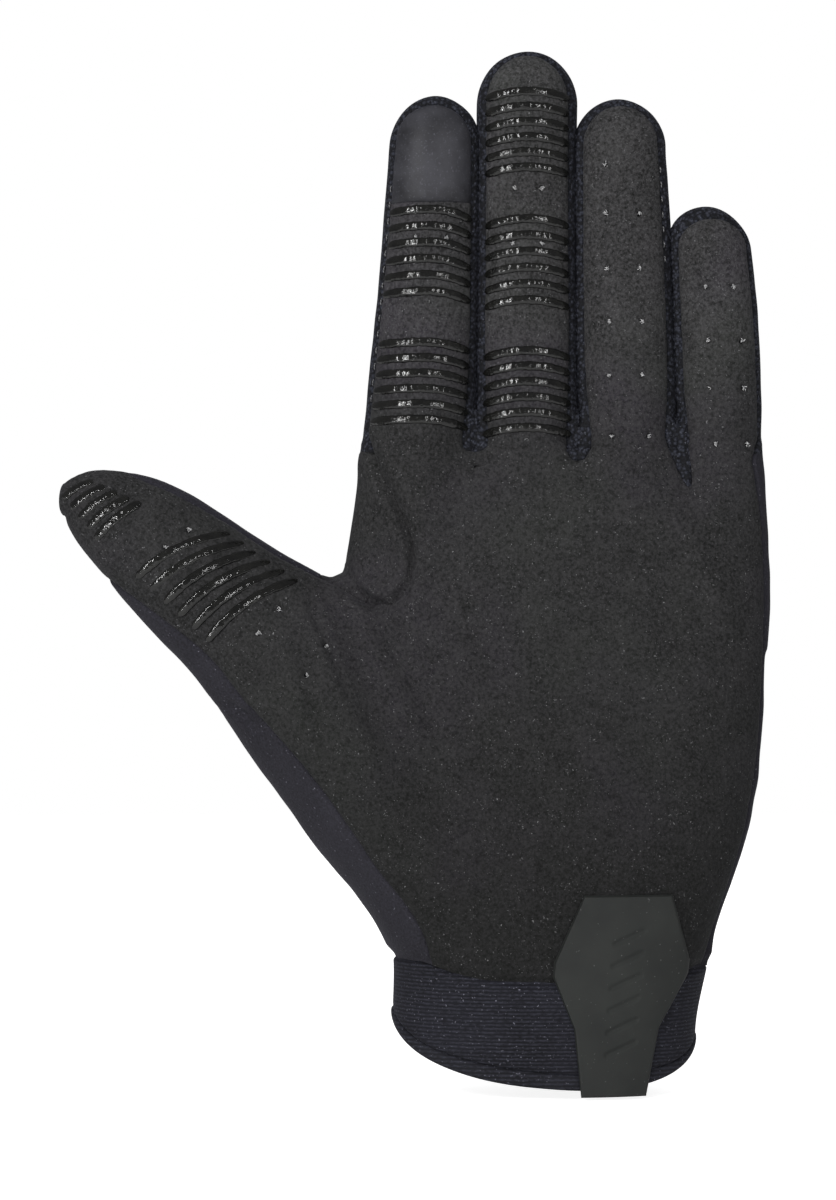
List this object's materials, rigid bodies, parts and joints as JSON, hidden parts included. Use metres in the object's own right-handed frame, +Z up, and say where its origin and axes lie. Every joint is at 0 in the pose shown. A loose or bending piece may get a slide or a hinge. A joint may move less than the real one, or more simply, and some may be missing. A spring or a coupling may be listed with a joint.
{
  "type": "full-finger cycling glove for the left hand",
  "caption": "Full-finger cycling glove for the left hand in its worn shape, with a suede palm, knit back, silicone grip strips, ribbed cuff and rubber pull tab.",
  "frame": {"origin": "centre of the wrist opening, at the level of the rim's lowest point on the palm side", "axes": "+Z up along the fingers, +X towards the little finger, the palm faces -Y"},
  "size_m": [0.1637, 0.0505, 0.2372],
  "materials": {
    "suede": "brushed microfibre suede with a short dull nap",
    "touch_leather": "smooth coated leather, slightly bluish grey",
    "knit": "fine four-way stretch knit, dull",
    "mesh_knit": "coarse open stretch mesh",
    "cuff_knit": "fine knit with ribs along the wrist",
    "hem_knit": "turned and stitched knit hem",
    "tab_rubber": "moulded matte rubber",
    "grip_silicone": "printed glossy silicone with an uneven surface"
  },
  "bodies": {
    "root": {"palm_panel": "suede", "touch_patch": "touch_leather", "thumb_gusset": "suede", "back_panel": "knit", "fourchette_index_middle": "mesh_knit", "fourchette_middle_ring": "mesh_knit", "fourchette_ring_little": "mesh_knit", "cuff_band": "cuff_knit", "cuff_hem": "hem_knit", "pull_tab": "tab_rubber", "grip_index_far_1": "grip_silicone", "grip_index_far_2": "grip_silicone", "grip_index_far_3": "grip_silicone", "grip_index_far_4": "grip_silicone", "grip_index_far_5": "grip_silicone", "grip_index_far_6": "grip_silicone", "grip_index_near_1": "grip_silicone", "grip_index_near_2": "grip_silicone", "grip_index_near_3": "grip_silicone", "grip_index_near_4": "grip_silicone", "grip_index_near_5": "grip_silicone", "grip_index_near_6": "grip_silicone", "grip_middle_tip_1": "grip_silicone", "grip_middle_tip_2": "grip_silicone", "grip_middle_tip_3": "grip_silicone", "grip_middle_tip_4": "grip_silicone", "grip_middle_tip_5": "grip_silicone", "grip_middle_tip_6": "grip_silicone", "grip_middle_far_1": "grip_silicone", "grip_middle_far_2": "grip_silicone", "grip_middle_far_3": "grip_silicone", "grip_middle_far_4": "grip_silicone", "grip_middle_far_5": "grip_silicone", "grip_middle_far_6": "grip_silicone", "grip_middle_near_1": "grip_silicone", "grip_middle_near_2": "grip_silicone", "grip_middle_near_3": "grip_silicone", "grip_middle_near_4": "grip_silicone", "grip_middle_near_5": "grip_silicone", "grip_middle_near_6": "grip_silicone", "grip_thumb_far_1": "grip_silicone", "grip_thumb_far_2": "grip_silicone", "grip_thumb_far_3": "grip_silicone", "grip_thumb_far_4": "grip_silicone", "grip_thumb_far_5": "grip_silicone", "grip_thumb_near_1": "grip_silicone", "grip_thumb_near_2": "grip_silicone", "grip_thumb_near_3": "grip_silicone", "grip_thumb_near_4": "grip_silicone", "grip_thumb_near_5": "grip_silicone", "grip_thumb_near_6": "grip_silicone"}
  },
  "joints": []
}
